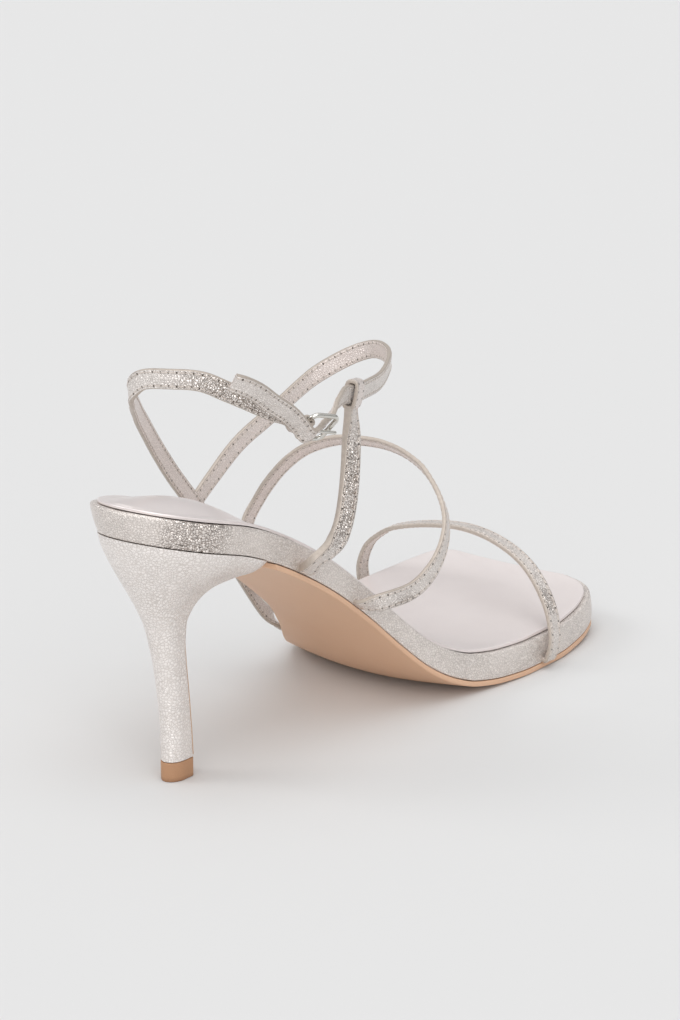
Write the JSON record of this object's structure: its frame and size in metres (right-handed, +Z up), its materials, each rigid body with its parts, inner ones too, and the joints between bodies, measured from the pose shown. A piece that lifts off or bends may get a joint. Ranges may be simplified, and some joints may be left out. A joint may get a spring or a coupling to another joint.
{
  "type": "heeled sandal",
  "caption": "Right shoe of a strappy stiletto-heeled sandal in crackled silver leather, with an ankle strap, sling strap, instep strap, toe strap and small pin buckle.",
  "frame": {"origin": "on the floor, centre of the underside of the heel's top piece", "axes": "+X towards the toe, +Y towards the inner (medial) side, +Z up"},
  "size_m": [0.2286, 0.0935, 0.1359],
  "materials": {
    "outsole": "smooth tan",
    "footbed": "crackled silver foil leather",
    "insole_sock": "smooth pale metallic lining leather",
    "heel": "crackled silver foil leather over a moulded heel",
    "heel_breast": "smooth tan",
    "heel_tip": "matt tan",
    "strap_upper": "crackled silver foil leather, stitched along both edges",
    "strap_riser": "crackled silver foil leather, stitched along both edges",
    "strap_toe": "crackled silver foil leather, stitched along both edges",
    "buckle_frame": "polished",
    "buckle_prong": "polished"
  },
  "bodies": {
    "root": {"outsole": "outsole", "footbed": "footbed", "insole_sock": "insole_sock", "heel": "heel", "heel_breast": "heel_breast", "heel_tip": "heel_tip", "strap_upper": "strap_upper", "strap_riser": "strap_riser", "strap_toe": "strap_toe", "buckle_frame": "buckle_frame", "buckle_prong": "buckle_prong"}
  },
  "joints": []
}
